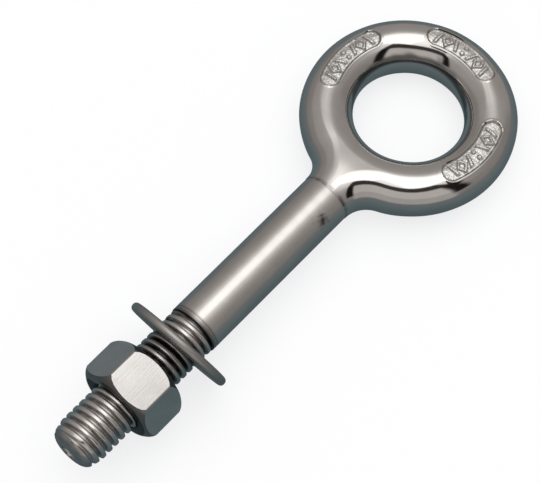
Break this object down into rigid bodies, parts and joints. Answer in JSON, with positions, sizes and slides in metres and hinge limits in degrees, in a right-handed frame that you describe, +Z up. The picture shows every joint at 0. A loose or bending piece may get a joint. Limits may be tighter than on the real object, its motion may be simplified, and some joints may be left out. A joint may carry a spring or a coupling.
{
  "type": "eye bolt",
  "caption": "Forged steel eye bolt lying on its side: a closed round eye on a straight shank, with a right-hand threaded end that carries a hex nut and a loose plain washer.",
  "frame": {"origin": "on the supporting surface, under the middle of the object's bounding box, as the eye bolt lies at rest", "axes": "+X from the threaded end towards the eye, level; +Z up. The bolt's own axis lies in the X-Z plane and falls 4.0 degrees towards the eye"},
  "size_m": [0.1402, 0.0518, 0.0266],
  "materials": {
    "polished_forging": "mirror-polished stainless steel with faint turning lines on the shank and a grainy cast floor in the three recessed panels",
    "washer_steel": "tumbled stainless steel, satin, with a rolled-over rim",
    "nut_steel": "bright stainless steel with smooth flats and deep turned chamfers"
  },
  "bodies": {
    "bolt": {"eye_bolt": "polished_forging"},
    "washer": {"washer": "washer_steel"},
    "nut": {"hex_nut": "nut_steel"}
  },
  "joints": [
    {"name": "nut_travel", "type": "slide", "parent": "bolt", "child": "washer", "axis": [0.9976, 0, -0.0696], "range_m": [-0.0142, 0.0132]},
    {"name": "nut_turn", "type": "hinge", "parent": "washer", "child": "nut", "pos_m": [-0.04974, 0, 0.0143], "axis": [0.9976, 0, -0.0696], "range_deg": [-2610, 2430]}
  ],
  "couplings": [
    {"joint": "nut_travel", "follows": "nut_turn", "m_per_rad": 0.00031096}
  ]
}
